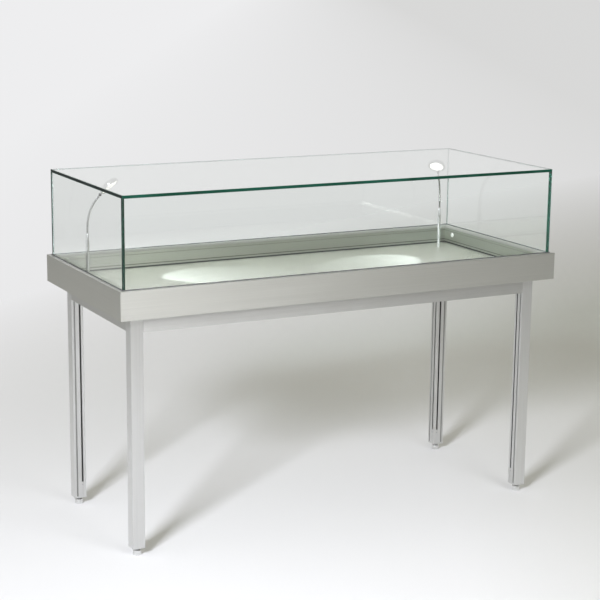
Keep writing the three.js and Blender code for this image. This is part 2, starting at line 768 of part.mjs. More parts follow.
function lampLens() {
  const top = HEAD_FRONT - 1.2;
  const points = [[0, top - LENS_THICKNESS], [LENS_RADIUS, top - LENS_THICKNESS], [LENS_RADIUS, top], [0, top]];
  return revolve(points, 32).translate(HEAD_CENTRE, 0, 0).applyMatrix4(headFrame());
}

function addLamp(side, sign) {
  const group = new THREE.Group();
  const { x, y } = lampPlace(sign);
  group.position.set(x, y, STAND_HEIGHT + DECK_TOP);
  group.rotation.z = sign < 0 ? -rad(LAMP_TURN) : rad(LAMP_TURN) - Math.PI;
  group.add(mesh("lamp_socket_" + side, lampSocket(), "lamp"));
  group.add(mesh("lamp_stem_" + side, lampStem(), "lamp"));
  group.add(mesh("lamp_neck_" + side, lampNeck(), "lamp"));
  group.add(mesh("lamp_head_" + side, lampHead(), "lamp"));
  group.add(mesh("lamp_lens_" + side, lampLens(), "lens"));
  object.add(group);
}

// ---- the whole case ----

for (const corner of Object.keys(CORNERS)) addLeg(corner);

for (const [side, { length }] of Object.entries(SIDES)) {
  const group = sideGroup(side);
  const betweenLegs = () => LEG_INSET + LEG + GAP;
  group.add(mesh("stand_rail_" + side, run(standRailSection(), length, betweenLegs), "stand"));
  group.add(mesh("base_rail_" + side, run(baseRailSection(), length, frameCut), "frame"));
  addHoodSide(side);
}

const plan = new THREE.Group();
plan.position.z = STAND_HEIGHT;
plan.add(mesh("deck_board", deckBoard(), "deck"));
plan.add(mesh("hood_gasket", hoodGasket(), "dark"));
plan.add(mesh("glass_top", glassTop(), "glass"));
object.add(plan);

addHinge();
addLock();
for (const [side, sign] of [["left", -1], ["right", 1]]) {
  addStrutMounts(side);
  addStrut(side, sign);
  addLamp(side, sign);
}

export default object;
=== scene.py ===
import math

import bpy
from mathutils import Matrix, Vector


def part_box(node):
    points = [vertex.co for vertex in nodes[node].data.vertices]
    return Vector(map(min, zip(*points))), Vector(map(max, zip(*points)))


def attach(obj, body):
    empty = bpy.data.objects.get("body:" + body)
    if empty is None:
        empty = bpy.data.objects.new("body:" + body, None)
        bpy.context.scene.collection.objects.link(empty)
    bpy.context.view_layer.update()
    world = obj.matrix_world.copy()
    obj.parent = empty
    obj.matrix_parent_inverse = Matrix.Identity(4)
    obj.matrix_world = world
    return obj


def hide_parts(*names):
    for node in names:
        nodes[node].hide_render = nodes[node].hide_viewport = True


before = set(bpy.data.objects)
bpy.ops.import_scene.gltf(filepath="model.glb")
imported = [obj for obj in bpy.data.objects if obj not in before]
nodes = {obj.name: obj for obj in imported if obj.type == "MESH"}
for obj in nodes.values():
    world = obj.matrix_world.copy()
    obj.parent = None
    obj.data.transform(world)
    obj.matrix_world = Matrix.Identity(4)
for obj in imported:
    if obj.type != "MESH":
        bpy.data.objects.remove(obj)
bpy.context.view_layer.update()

# ---- camera: degrees, metres, and the lens and its sensor in millimetres ----
CAMERA_YAW = -27.533
CAMERA_PITCH = -12.173
CAMERA_ROLL = 0.644
CAMERA_PLACE = (-2.17964, -4.16023, 1.63307)
CAMERA_LENS = 95.81
CAMERA_SENSOR = 36

# ---- places read from the frame, in metres ----
SIDES = ("front", "right", "back", "left")
CORNERS = {"front_left": (-1, -1), "front_right": (1, -1), "back_right": (1, 1), "back_left": (-1, 1)}
LAMPS = ("left", "right")
DECK_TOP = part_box("deck_board")[1].z

# ---- the panes and the seal at their feet, in metres ----
ARRIS_WIDTH = 0.0004
SEAL_GAP = 0.00005
SEAL_WIDTH = 0.0024
SEAL_HEIGHT = 0.0026

# ---- sizes of the lamps, in metres and degrees ----
LAMP_TURN = 48.4  # heading towards the middle front, from the long axis
STEM_RADIUS = 0.0055
STEM_SUNK = 0.030
COLLAR_RADIUS = 0.0064
COLLAR_TOP = 0.104
COLLAR_HEIGHT = 0.0032
COLLAR_EDGE = 0.0004
FERRULE_RADIUS = 0.0042
NECK_FOOT = 0.125
NECK_RADIUS = 0.003
NECK_REACH = 0.044
NECK_TOP = 0.243
NECK_SLOPE = 49
NECK_LIFT = 0.065
NECK_LEAD = 0.042
NECK_RINGS = 120
RIB_DEPTH = 0.94
BALL_RADIUS = 0.0045
HEAD_SLOPE = 42
HEAD_RADIUS = 0.027
HEAD_CENTRE = 0.0355
LENS_RADIUS = 0.022

# ---- the lamps' light ----
POOLS = {"left": (-0.285, 0.070), "right": (0.297, 0.045)}  # where it falls on the deck
BEAM_START = 0.007
BEAM_POWER = 13.5
BEAM_SPREAD = 37
BEAM_TONE = (0.80, 0.87, 1.0)

# ---- sizes of the feet and screws, in metres ----
DRUM_HEIGHT = 0.0150
STUD_RADIUS = 0.004
INSERT_SCREW = (0.0021, 0.0003)  # radius and height of the head
INSERT_SCREW_DROP = 0.009
INSERT_SLOT = 0.025  # from a leg's outer face to the middle of its slot
HINGE_SCREW = (0.0032, 0.0009)
HINGE_SCREWS = 8
HINGE_LEAF = 0.0023

# ---- tones of the aluminium, with the painted shade of its recesses ----
FRAME_TONE = (0.68, 0.68, 0.648)
# painted shade on the frame's inner wall, inside the case
FRAME_INNER_PAINTED_SHADE = (0.37, 0.385, 0.335)
STAND_RAIL_TONE = (0.67, 0.67, 0.66)
LEG_TONE = (0.70, 0.70, 0.69)
# painted shade inside the legs' slots
LEG_SLOTS_PAINTED_SHADE = (0.16, 0.16, 0.15)

# ---- painted shadow lines along the frame's inner wall: height, half width and strength ----
GROOVE_SHADOW_LINE = (0.7176, 0.0014, 1.0)
BEAD_SHADOW_LINE = (0.7478, 0.0010, 0.6)

# ---- the room ----
ACROSS = (0.887, -0.462, 0)  # from the left of the view to its right, along the floor
# the backdrop's pale tone, darker towards the view's right: painted shade
BACKDROP_PAINTED_SHADE = {"left": (0.855, 0.855, 0.865), "right": (0.69, 0.69, 0.685)}
AMBIENT = (0.47, 0.463, 0.405)
HORIZON = (0.80, 0.80, 0.80)
CEILING = (0.20, 0.20, 0.18)
BESIDE = (0.36, 0.36, 0.34)
FLOOR_SIZE = 300


# ---- camera ----

def add_camera():
    """A long lens off the case's front left, a little above its top."""
    yaw, pitch, roll = (math.radians(angle) for angle in (CAMERA_YAW, CAMERA_PITCH, CAMERA_ROLL))
    level = Vector((math.cos(yaw), math.sin(yaw), 0))
    forward = Vector((-math.sin(yaw) * math.cos(pitch), math.cos(yaw) * math.cos(pitch), math.sin(pitch)))
    rise = level.cross(forward)
    right = level * math.cos(roll) + rise * math.sin(roll)
    up = rise * math.cos(roll) - level * math.sin(roll)
    turn = Matrix((right, up, -forward)).transposed().to_4x4()
    bpy.ops.object.camera_add()
    camera = bpy.context.object
    camera.matrix_world = Matrix.Translation(CAMERA_PLACE) @ turn
    camera.data.sensor_width = CAMERA_SENSOR
    camera.data.lens = CAMERA_LENS
    camera.data.clip_end = 200
    bpy.context.scene.camera = camera


# ---- making pieces by hand ----

def deselect():
    if bpy.context.object and bpy.context.object.mode != "OBJECT":
        bpy.ops.object.mode_set(mode="OBJECT")
    bpy.ops.object.select_all(action="DESELECT")


def take(piece):
    deselect()
    piece.select_set(True)
    bpy.context.view_layer.objects.active = piece


def fix_place(piece):
    take(piece)
    bpy.ops.object.transform_apply(location=True, rotation=True, scale=True)


def settle(name, place=None):
    """Names the piece just made and puts its place into its mesh."""
    piece = bpy.context.object
    piece.name = name
    piece.data.name = name
    fix_place(piece)
    if place is not None:
        piece.matrix_world = place
        fix_place(piece)
    return piece


def smooth(piece, angle=35):
    take(piece)
    bpy.ops.object.shade_smooth_by_angle(angle=math.radians(angle))
    return piece


def bevel(piece, width, segments):
    made = piece.modifiers.new("bevel", "BEVEL")
    made.width = width
    made.segments = segments
    take(piece)
    bpy.ops.object.modifier_apply(modifier=made.name)
    return piece


def block(name, low, high, edge, segments=2, place=None):
    """A rectangular piece between two corners, its edges rounded."""
    deselect()
    low, high = Vector(low), Vector(high)
    bpy.ops.mesh.primitive_cube_add(size=1, location=(low + high) / 2)
    bpy.context.object.scale = high - low
    return smooth(bevel(settle(name, place), edge, segments))


def turned(name, profile, facets=48, place=None):
    """A turned piece: a disc drawn up its axis, ring by ring, through (radius, height)."""
    deselect()
    radius, height = profile[0]
    foot = (0, 0, height)
    bpy.ops.mesh.primitive_circle_add(vertices=facets, radius=radius, fill_type="NGON", location=foot)
    bpy.ops.object.mode_set(mode="EDIT")
    bpy.ops.mesh.select_mode(type="FACE")
    bpy.ops.mesh.select_all(action="SELECT")
    for next_radius, next_height in profile[1:]:
        rise = (0, 0, next_height - height)
        bpy.ops.mesh.extrude_region_move(TRANSFORM_OT_translate={"value": rise})
        share = next_radius / radius
        bpy.ops.transform.resize(value=(share, share, 1), center_override=(0, 0, next_height))
        radius, height = next_radius, next_height
    bpy.ops.mesh.select_all(action="SELECT")
    bpy.ops.mesh.normals_make_consistent(inside=False)
    bpy.ops.object.mode_set(mode="OBJECT")
    return smooth(settle(name, place))


def copied(pattern, name, place):
    """A copy of a piece, with its own mesh, put at a place."""
    take(pattern)
    bpy.ops.object.duplicate(linked=False)
    return settle(name, place)


def put_away(*patterns):
    """Removes the patterns once their copies are in place."""
    deselect()
    for pattern in patterns:
        pattern.select_set(True)
    bpy.ops.object.delete()


def facing(point, direction):
    """A place at a point, with its Z along a direction."""
    turn = Vector(direction).to_track_quat("Z", "Y").to_matrix().to_4x4()
    return Matrix.Translation(point) @ turn


# ---- finishes ----

class Finish:
    """A node material in the making."""

    def __init__(self, name):
        self.made = bpy.data.materials.new(name)
        self.made.use_nodes = True
        self.tree = self.made.node_tree
        self.shader = self.tree.nodes["Principled BSDF"]

    def node(self, kind):
        return self.tree.nodes.new(kind)

    def link(self, source, target):
        self.tree.links.new(source, target)

    def fill(self, target, tone):
        """Gives a colour input a constant or a socket."""
        if isinstance(tone, tuple):
            target.default_value = (*tone, 1)
        else:
            self.link(tone, target)

    def place(self):
        """Where a point lies in the case, as a vector."""
        return self.node("ShaderNodeTexCoord").outputs["Object"]

    def coordinates(self):
        """Where a point lies in the case, as X, Y and Z."""
        apart = self.node("ShaderNodeSeparateXYZ")
        self.link(self.place(), apart.inputs[0])
        return apart.outputs

    def noise(self, scale, detail=3):
        """Fine noise on Object coordinates, stretched by a scale along each axis."""
        stretch = self.node("ShaderNodeMapping")
        stretch.inputs["Scale"].default_value = scale
        noise = self.node("ShaderNodeTexNoise")
        noise.inputs["Scale"].default_value = 1
        noise.inputs["Detail"].default_value = detail
        self.link(self.place(), stretch.inputs["Vector"])
        self.link(stretch.outputs["Vector"], noise.inputs["Vector"])
        return noise.outputs["Fac"]

    def maths(self, operation, first, second=0.0):
        """A sum of a socket and either another socket or a number."""
        made = self.node("ShaderNodeMath")
        made.operation = operation
        self.link(first, made.inputs[0])
        if isinstance(second, float):
            made.inputs[1].default_value = second
        else:
            self.link(second, made.inputs[1])
        return made.outputs[0]

    def short_of(self, value, limit):
        """How far a value lies below a limit."""
        return self.maths("ADD", self.maths("MULTIPLY", value, -1.0), limit)

    def length(self, vector):
        made = self.node("ShaderNodeVectorMath")
        made.operation = "LENGTH"
        self.link(vector, made.inputs[0])
        return made.outputs["Value"]

    def along(self, vector, direction):
        """How far a vector reaches along a direction."""
        made = self.node("ShaderNodeVectorMath")
        made.operation = "DOT_PRODUCT"
        made.inputs[1].default_value = direction
        self.link(vector, made.inputs[0])
        return made.outputs["Value"]

    def ranged(self, value, low, high, start=0.35, end=0.65):
        """Low where the value is at its start, high where it is at its end."""
        made = self.node("ShaderNodeMapRange")
        made.inputs["From Min"].default_value = start
        made.inputs["From Max"].default_value = end
        made.inputs["To Min"].default_value = low
        made.inputs["To Max"].default_value = high
        self.link(value, made.inputs["Value"])
        return made.outputs["Result"]

    def blended(self, first, second, share):
        """Two values in one, with a share of the second."""
        made = self.node("ShaderNodeMix")
        made.inputs["Factor"].default_value = share
        self.link(first, made.inputs["A"])
        self.link(second, made.inputs["B"])
        return made.outputs["Result"]

    def mixed(self, value, first, second):
        """A colour between two, each a constant or a socket."""
        mix = self.node("ShaderNodeMix")
        mix.data_type = "RGBA"
        self.fill(mix.inputs["A"], first)
        self.fill(mix.inputs["B"], second)
        self.link(value, mix.inputs["Factor"])
        return mix.outputs["Result"]

    def either(self, share, first, second):
        """A shader between two."""
        mix = self.node("ShaderNodeMixShader")
        self.link(share, mix.inputs[0])
        self.link(first, mix.inputs[1])
        self.link(second, mix.inputs[2])
        return mix.outputs[0]

    def tinted(self, kind, tone):
        """A plain shader of a kind, in a tone."""
        made = self.node(kind)
        self.fill(made.inputs["Color"], tone)
        return made.outputs[0]

    def ray(self, kind):
        """1 for the rays of a kind."""
        return self.node("ShaderNodeLightPath").outputs[kind]

    def seen(self):
        """1 for what is looked at straight or through glass."""
        return self.maths("MAXIMUM", self.ray("Is Camera Ray"), self.ray("Is Transmission Ray"))

    def colour(self, value, first, second):
        self.link(self.mixed(value, first, second), self.shader.inputs["Base Color"])

    def rough(self, value, low, high):
        self.link(self.ranged(value, low, high), self.shader.inputs["Roughness"])

    def relief(self, value, strength, distance=0.0002):
        bump = self.node("ShaderNodeBump")
        bump.inputs["Strength"].default_value = strength
        bump.inputs["Distance"].default_value = distance
        self.link(value, bump.inputs["Height"])
        self.link(bump.outputs["Normal"], self.shader.inputs["Normal"])

    def sheen_across(self, direction):
        """Spreads the sheen across lines that run along a direction."""
        normal = self.node("ShaderNodeNewGeometry")
        across = self.node("ShaderNodeVectorMath")
        across.operation = "CROSS_PRODUCT"
        across.inputs[1].default_value = direction
        nudge = self.node("ShaderNodeVectorMath")  # a face that looks along its lines needs a sheen too
        nudge.operation = "ADD"
        nudge.inputs[1].default_value = (0.002, 0.001, 0.003)
        self.link(normal.outputs["Normal"], across.inputs[0])
        self.link(across.outputs["Vector"], nudge.inputs[0])
        self.link(nudge.outputs["Vector"], self.shader.inputs["Tangent"])

    def set(self, **values):
        for name, value in values.items():
            self.shader.inputs[name.replace("_", " ")].default_value = value

    def surface(self, shader):
        self.link(shader, self.tree.nodes["Material Output"].inputs["Surface"])


def shade(tone, share):
    return tuple(min(1, part * share) for part in tone)


AXES = {"x": (1, 0, 0), "y": (0, 1, 0), "z": (0, 0, 1)}


def leg_depth(finish):
    """How deep a point lies in a leg's slots, in metres, from the leg's nearest face or foot."""
    low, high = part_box("leg_back_right")
    place = finish.coordinates()
    least = finish.maths("SUBTRACT", place["Z"], low.z)
    for axis, near, far in (("X", low.x, high.x), ("Y", low.y, high.y)):
        reach = finish.maths("ABSOLUTE", place[axis])
        least = finish.maths("MINIMUM", least, finish.maths("SUBTRACT", reach, near))
        least = finish.maths("MINIMUM", least, finish.short_of(reach, far))
    return least


def wall_depth(finish):
    """How far a point of the frame lies in from the case's outer faces, in metres."""
    place = finish.coordinates()
    half_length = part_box("hood_rail_right")[1].x
    half_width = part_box("hood_rail_back")[1].y
    from_ends = finish.short_of(finish.maths("ABSOLUTE", place["X"]), half_length)
    from_sides = finish.short_of(finish.maths("ABSOLUTE", place["Y"]), half_width)
    return finish.maths("MINIMUM", from_ends, from_sides)


def painted_shadow_lines(finish):
    """1 on the painted shadow lines that run along the frame's inner wall: in its groove and at the foot of
    the glazing bead.
    """
    height = finish.coordinates()["Z"]
    lines = []
    for middle, half, strength in (GROOVE_SHADOW_LINE, BEAD_SHADOW_LINE):
        off = finish.maths("ABSOLUTE", finish.maths("SUBTRACT", height, middle))
        lines.append(finish.maths("MULTIPLY", finish.ranged(off, 1, 0, half * 0.7, half), strength))
    inside = finish.ranged(wall_depth(finish), 0, 1, 0.030, 0.031)
    return finish.maths("MULTIPLY", finish.maths("MAXIMUM", *lines), inside)


def anodised(name, along, tone, recess=None, shadow_line_tone=None):
    """Satin anodised extrusion. Its die lines run along one axis, so its sheen spreads across them.

    A recess has a measure of depth, the two depths between which painted shade darkens it, and the painted
    shade's tone."""
    finish = Finish(name)
    fine, wide = [520, 520, 520], [14, 14, 14]
    fine["xyz".index(along)] = 2
    wide["xyz".index(along)] = 2
    lines = finish.noise(fine)
    clouds = finish.noise(wide)
    streaks = finish.ranged(finish.blended(lines, clouds, 0.4), 0, 1)
    whole = finish.mixed(streaks, shade(tone, 0.95), shade(tone, 1.04))
    if recess:
        depth, start, end, dark = recess
        # painted shade: the metal darkens between the recess's two depths
        whole = finish.mixed(finish.ranged(depth(finish), 0, 1, start, end), whole, dark)
    # painted shadow lines in the groove and under the glazing bead
    if shadow_line_tone:
        whole = finish.mixed(painted_shadow_lines(finish), whole, shadow_line_tone)
    finish.link(whole, finish.shader.inputs["Base Color"])
    finish.rough(lines, 0.36, 0.45)
    finish.relief(lines, 0.1)
    finish.set(Metallic=1.0, Anisotropic=0.7)
    finish.sheen_across(AXES[along])
    return finish.made


def plated(name, tone, rough):
    """Plated steel with a faint mottled sheen."""
    finish = Finish(name)
    cloud = finish.noise((160, 160, 160), 4)
    finish.colour(finish.ranged(cloud, 0, 1), shade(tone, 0.88), tone)
    finish.rough(cloud, rough + 0.06, rough - 0.05)
    finish.set(Metallic=1.0)
    return finish.made


def polished(name, tone, rough):
    """Bright polished metal with hairline marks round it."""
    finish = Finish(name)
    lines = finish.noise((60, 60, 900), 2)
    finish.colour(finish.ranged(lines, 0, 1), shade(tone, 0.93), tone)
    finish.rough(lines, rough - 0.03, rough + 0.05)
    finish.set(Metallic=1.0)
    return finish.made


def lacquered_board(name):
    """The deck's pale grey satin lacquer, with its fine roller texture."""
    finish = Finish(name)
    peel = finish.noise((700, 700, 700))
    cloud = finish.noise((5, 5, 5))
    finish.colour(finish.ranged(cloud, 0, 1), (0.34, 0.345, 0.285), (0.37, 0.375, 0.31))
    finish.rough(peel, 0.24, 0.34)
    finish.relief(peel, 0.05)
    return finish.made


def sponge_rubber(name):
    finish = Finish(name)
    pores = finish.noise((1400, 1400, 1400), 2)
    finish.colour(finish.ranged(pores, 0, 1), (0.012, 0.012, 0.012), (0.03, 0.03, 0.03))
    finish.rough(pores, 0.75, 0.95)
    finish.relief(pores, 0.3)
    return finish.made


def sealing_compound(name):
    """Grey sealing compound, smoothed by hand."""
    finish = Finish(name)
    drag = finish.noise((60, 60, 400), 2)
    finish.colour(finish.ranged(drag, 0, 1), (0.085, 0.088, 0.085), (0.11, 0.114, 0.11))
    finish.rough(drag, 0.5, 0.65)
    return finish.made


def black_lacquer(name):
    finish = Finish(name)
    peel = finish.noise((700, 700, 700), 2)
    finish.colour(finish.ranged(peel, 0, 1), (0.014, 0.014, 0.015), (0.022, 0.022, 0.023))
    finish.rough(peel, 0.28, 0.38)
    return finish.made


def clear_glass(name):
    """Clear glass, wiped in long faint strokes. Lamp light passes straight through it."""
    finish = Finish(name)
    finish.set(Base_Color=(0.975, 0.99, 0.982, 1), Transmission_Weight=1.0, IOR=1.5)
    wiped = finish.noise((2.5, 2.5, 9))
    finish.link(finish.ranged(wiped, 0, 0.012, 0.5, 0.75), finish.shader.inputs["Roughness"])
    through = finish.tinted("ShaderNodeBsdfTransparent", (0.95, 0.98, 0.965))
    finish.surface(finish.either(finish.ray("Is Shadow Ray"), finish.shader.outputs[0], through))
    return finish.made


def glass_edge(name, dark, pale, rough):
    """A ground and polished glass edge: the glass's own green with painted light for the light run along the
    pane, its green deeper in patches of painted shade where less light runs along the pane.
    """
    finish = Finish(name)
    run = finish.noise((9, 9, 9))
    grind = finish.noise((500, 500, 500), 2)
    finish.colour(finish.ranged(run, 0, 1), dark, pale)
    finish.rough(grind, rough, rough + 0.12)
    finish.set(Specular_IOR_Level=0.12)
    return finish.made


def frosted_lens(name):
    """A lit frosted lens."""
    finish = Finish(name)
    frost = finish.noise((1500, 1500, 1500), 2)
    finish.colour(finish.ranged(frost, 0, 1), (0.93, 0.92, 0.88), (1, 1, 0.98))
    finish.rough(frost, 0.35, 0.5)
    finish.set(Emission_Color=(1.0, 0.97, 0.9, 1), Emission_Strength=0.9)
    return finish.made


def paint(piece, *finishes):
    piece.data.materials.clear()
    for made in finishes:
        piece.data.materials.append(made)


def dress(node, finish):
    """Gives a CAD node its finish in each of its slots."""
    for slot in nodes[node].material_slots:
        slot.material = finish


def dress_frame():
    """Gives every CAD node the finish of its kind."""
    along = {"front": "x", "back": "x", "left": "y", "right": "y"}
    # the frame's inner wall darkens with depth from the outer faces: painted shade
    inner = (wall_depth, 0.020, 0.0325, FRAME_INNER_PAINTED_SHADE)
    # the legs' slots darken with depth below their faces: painted shade
    slots = (leg_depth, 0.0004, 0.0030, LEG_SLOTS_PAINTED_SHADE)
    case, stand = {}, {}
    for axis in "xy":
        # the last tone is that of the painted shadow lines
        case[axis] = anodised("frame_anodised_" + axis, axis, FRAME_TONE, inner, shade(FRAME_INNER_PAINTED_SHADE, 0.35))
        stand[axis] = anodised("stand_anodised_" + axis, axis, STAND_RAIL_TONE)
    legs = anodised("stand_anodised_z", "z", LEG_TONE, slots)
    for node in nodes:
        kind, _, side = node.rpartition("_")
        if kind in ("hood_rail", "base_rail", "glazing_bead"):
            dress(node, case[along[side]])
        elif kind == "stand_rail":
            dress(node, stand[along[side]])
        elif node.startswith(("leg_", "foot_insert_")):
            dress(node, legs)
        elif node == "deck_board":
            dress(node, board)
        elif node == "hood_gasket":
            dress(node, rubber)
        elif kind == "strut_cylinder":
            dress(node, black)
        elif kind == "strut_pivot_cap":
            dress(node, cap_metal)
        elif kind == "strut_rod" or kind.startswith("lamp"):
            dress(node, bright)
        else:
            dress(node, steel)


# ---- glass ----

def add_pane(side):
    """A pane with its arrises ground and its edges polished."""
    low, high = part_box("glass_" + side)
    piece = block("pane_" + side, low, high, ARRIS_WIDTH, 1)
    size = [b - a for a, b in zip(low, high)]
    thin = size.index(min(size))
    paint(piece, clear, green_edge_painted_light, dark_edge_painted_shade, arris, far_edge_painted_light)
    # Painted light on the edges: back edges a pale painted glow, left-facing edges painted shade, the arris
    # partly its own frost and partly a painted highlight, the rest green with painted light.
    plain, green, dark, ground, far = range(5)
    for face in piece.data.polygons:
        face.use_smooth = False
        normal = face.normal
        at_back = high.y > 0 and face.center.y > high.y - 0.001
        if at_back and abs(normal[thin]) < 0.9:
            face.material_index = far
        elif max(abs(part) for part in normal) < 0.9:
            face.material_index = ground
        elif abs(normal[thin]) > 0.9:
            face.material_index = plain
        else:
            face.material_index = dark if normal.x < -0.5 else green
    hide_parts("glass_" + side)
    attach(piece, "hood")


def add_seal(side):
    """The lip of sealing compound that closes the gap between a pane's foot and the frame."""
    low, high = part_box("glass_" + side)
    thin = 0 if side in ("left", "right") else 1
    if side in ("left", "front"):
        high[thin] = low[thin] - SEAL_GAP
        low[thin] -= SEAL_WIDTH
    else:
        low[thin] = high[thin] + SEAL_GAP
        high[thin] += SEAL_WIDTH
    if thin == 0:
        high.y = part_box("glass_back")[1].y
        low.y = -high.y
    else:
        low.x -= SEAL_WIDTH
        high.x += SEAL_WIDTH
    low.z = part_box("hood_rail_" + side)[1].z
    high.z = low.z + SEAL_HEIGHT
    piece = block("glazing_seal_" + side, low, high, 0.0006)
    paint(piece, sealing)
    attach(piece, "hood")


# ---- lamps ----

def lamp_place(side):
    """The foot of a lamp's stem on the deck, with the lamp's reach along X."""
    turn = math.radians(LAMP_TURN)
    stem_low, stem_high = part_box("lamp_stem_" + side)
    foot = (stem_low + stem_high) / 2
    foot.z = DECK_TOP
    return Matrix.Translation(foot) @ Matrix.Rotation(-turn if side == "left" else turn - math.pi, 4, "Z")


def ball_place():
    """The ball joint, with X across the lamp's disc and Z along its beam."""
    slope = math.radians(HEAD_SLOPE)
    across = Vector((math.cos(slope), 0, math.sin(slope)))
    beam = Vector((math.sin(slope), 0, -math.cos(slope)))
    turn = Matrix((across, beam.cross(across), beam)).transposed().to_4x4()
    return Matrix.Translation((NECK_REACH, 0, NECK_TOP)) @ turn


def disc_place():
    """The middle of the lamp's disc, with Z along its beam."""
    return ball_place() @ Matrix.Translation((HEAD_CENTRE, 0, 0))


def neck_line():
    """The neck's bend, from straight up at its foot to its slope at the ball."""
    slope = math.radians(NECK_SLOPE)
    end = Vector((NECK_REACH, 0, NECK_TOP))
    start = Vector((0, 0, NECK_FOOT + 0.0003))
    lift = Vector((0, 0, NECK_FOOT + NECK_LIFT))
    lead = end - Vector((math.cos(slope), 0, math.sin(slope))) * NECK_LEAD
    points = []
    for ring in range(NECK_RINGS + 1):
        t = ring / NECK_RINGS
        u = 1 - t
        points.append(start * u ** 3 + lift * 3 * u * u * t + lead * 3 * u * t * t + end * t ** 3)
    return points


def coiled_neck():
    """The bendable neck: a tube drawn along its bend, with a fine rib at every other ring."""
    line = neck_line()
    deselect()
    bpy.ops.mesh.primitive_circle_add(vertices=16, radius=NECK_RADIUS, fill_type="NGON", location=line[0])
    bpy.ops.object.mode_set(mode="EDIT")
    bpy.ops.mesh.select_mode(type="FACE")
    bpy.ops.mesh.select_all(action="SELECT")
    heading = 0.0
    for ring, (before, after) in enumerate(zip(line, line[1:])):
        step = after - before
        bpy.ops.mesh.extrude_region_move(TRANSFORM_OT_translate={"value": tuple(step)})
        wanted = math.atan2(step.x, step.z)
        bpy.ops.transform.rotate(value=heading - wanted, orient_axis="Y", center_override=tuple(after))
        heading = wanted
        if ring:
            share = RIB_DEPTH if ring % 2 else 1 / RIB_DEPTH
            bpy.ops.transform.resize(value=(share, share, share), center_override=tuple(after))
    bpy.ops.mesh.select_all(action="SELECT")
    bpy.ops.mesh.normals_make_consistent(inside=False)
    bpy.ops.object.mode_set(mode="OBJECT")
    return smooth(settle("neck_pattern"), 60)


def lamp_tube():
    """The stem with its collar and the ferrule that takes the neck."""
    r, collar = STEM_RADIUS, COLLAR_TOP - COLLAR_HEIGHT
    profile = [
        (r - 0.0006, -STEM_SUNK),
        (r, -STEM_SUNK + 0.0006),
        (r, collar),
        (COLLAR_RADIUS - COLLAR_EDGE, collar),
        (COLLAR_RADIUS, collar + COLLAR_EDGE),
        (COLLAR_RADIUS, COLLAR_TOP - COLLAR_EDGE),
        (COLLAR_RADIUS - COLLAR_EDGE, COLLAR_TOP),
        (FERRULE_RADIUS, COLLAR_TOP),
        (FERRULE_RADIUS, NECK_FOOT - 0.004),
        (NECK_RADIUS + 0.0003, NECK_FOOT - 0.0006),
        (NECK_RADIUS, NECK_FOOT),
    ]
    return turned("tube_pattern", profile)


def lamp_ball():
    r = BALL_RADIUS
    steps = [math.radians(angle) for angle in range(-80, 81, 16)]
    profile = [(r * math.cos(angle), r * math.sin(angle)) for angle in steps]
    return turned("ball_pattern", profile, 24, ball_place() @ Matrix.Rotation(math.pi / 2, 4, "Y"))


def lamp_lug():
    """The flat lug between the ball and the disc."""
    low = (BALL_RADIUS + 0.0003, -0.0035, -0.0025)
    high = (HEAD_CENTRE - HEAD_RADIUS + 0.003, 0.0035, 0.0025)
    return block("lug_pattern", low, high, 0.0008, 2, ball_place())


def lamp_housing():
    """The disc's domed back, its rolled rim and the recess for the lens."""
    r, recess = HEAD_RADIUS, LENS_RADIUS + 0.0003
    profile = [
        (r * 0.6, -0.0090),
        (r * 0.74, -0.0084),
        (r * 0.86, -0.0066),
        (r * 0.95, -0.0040),
        (r * 0.985, -0.0012),
        (r, -0.0008),
        (r, 0.0042),
        (r - 0.0008, 0.0050),
        (recess + 0.0005, 0.0050),
        (recess, 0.0045),
        (recess, 0.0012),
    ]
    return turned("housing_pattern", profile, 64, disc_place())


def lit_lens():
    """The lens, a little domed towards the deck."""
    r = LENS_RADIUS
    profile = [
        (r * 0.99, 0.0015),
        (r, 0.0020),
        (r, 0.0034),
        (r * 0.96, 0.0040),
        (r * 0.75, 0.0044),
        (r * 0.4, 0.0047),
    ]
    return turned("lens_pattern", profile, 64, disc_place())


def add_lamps():
    """Both lamps, each piece modelled once in a lamp's own frame and copied to its place."""
    parts = (
        ("lamp_tube_", lamp_tube, stem_metal_painted_reflection, "lamp_stem_", "lamp_arm_", "lamp"),
        ("lamp_coiled_neck_", coiled_neck, neck_metal_painted_shade, "lamp_neck_", "lamp_arm_", "lamp"),
        ("lamp_ball_", lamp_ball, black, None, "lamp_arm_", "lamp"),
        ("lamp_lug_", lamp_lug, bright, None, "lamp_head_", "lamp"),
        ("lamp_housing_", lamp_housing, bright, "lamp_head_", "lamp_head_", "lamp"),
        ("lamp_lit_lens_", lit_lens, frosted, "lamp_lens_", "lamp_head_", "lens"),
    )
    for name, make, finish, node, body, slot in parts:
        pattern = make()
        paint(pattern, finish)
        for side in LAMPS:
            piece = copied(pattern, name + side, lamp_place(side))
            if node:
                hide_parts(node + side)
            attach(piece, body + side)
        put_away(pattern)
    for side in LAMPS:
        add_beam(side)


def add_beam(side):
    """The light that a lamp throws on the deck."""
    start = lamp_place(side) @ disc_place() @ Vector((0, 0, BEAM_START))
    way = Vector((*POOLS[side], DECK_TOP)) - start
    deselect()
    bpy.ops.object.light_add(type="SPOT")
    beam = bpy.context.object
    beam.name = "lamp_beam_" + side
    beam.matrix_world = Matrix.Translation(start) @ way.to_track_quat("-Z", "Y").to_matrix().to_4x4()
    beam.data.energy = BEAM_POWER
    beam.data.spot_size = math.radians(BEAM_SPREAD)
    beam.data.spot_blend = 0.15
    beam.data.shadow_soft_size = 0.012
    beam.data.color = BEAM_TONE


# ---- stand hardware ----

